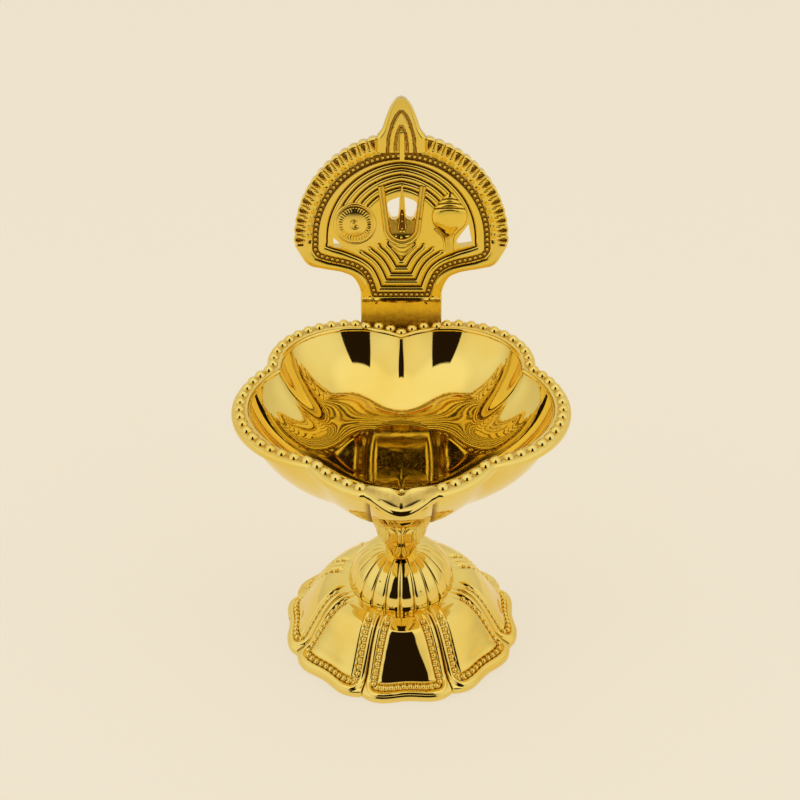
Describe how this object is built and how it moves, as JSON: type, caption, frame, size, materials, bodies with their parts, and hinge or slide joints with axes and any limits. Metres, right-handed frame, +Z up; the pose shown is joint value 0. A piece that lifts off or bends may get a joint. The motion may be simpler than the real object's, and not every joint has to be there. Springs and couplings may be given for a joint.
{
  "type": "aarti lamp",
  "caption": "Brass aarti lamp: a lobed oil bowl with a wick spout and a carved back plate with a leaf finial, on a fluted dome and a petal-edged hollow foot, clamped by a stud and nut.",
  "frame": {"origin": "on the stud's axis, at the height of the surface that the foot stands on", "axes": "+Z up along the stud, -Y towards the spout, +Y towards the back plate"},
  "size_m": [0.0796, 0.0883, 0.1256],
  "materials": {
    "polished_brass": "turned and mirror polished, pale gold",
    "carved_brass": "cast relief, ridges polished and recesses darkened",
    "rivet_brass": "hammered heads, lightly polished",
    "plated_steel": "zinc plated, dull"
  },
  "bodies": {
    "foot": {"petal_foot": "polished_brass", "fluted_dome": "polished_brass"},
    "bowl": {"oil_bowl": "polished_brass", "back_plate": "carved_brass", "wheel_disc": "carved_brass", "conch_shell": "carved_brass", "u_mark": "carved_brass", "centre_drop": "carved_brass", "plate_rivets": "rivet_brass", "stud": "plated_steel", "crown_washer": "plated_steel", "hex_nut": "plated_steel"}
  },
  "joints": [
    {"name": "bowl_turn", "type": "hinge", "parent": "foot", "child": "bowl", "pos_m": [0, 0, 0.0253], "axis": [0, 0, 1], "continuous": true}
  ]
}
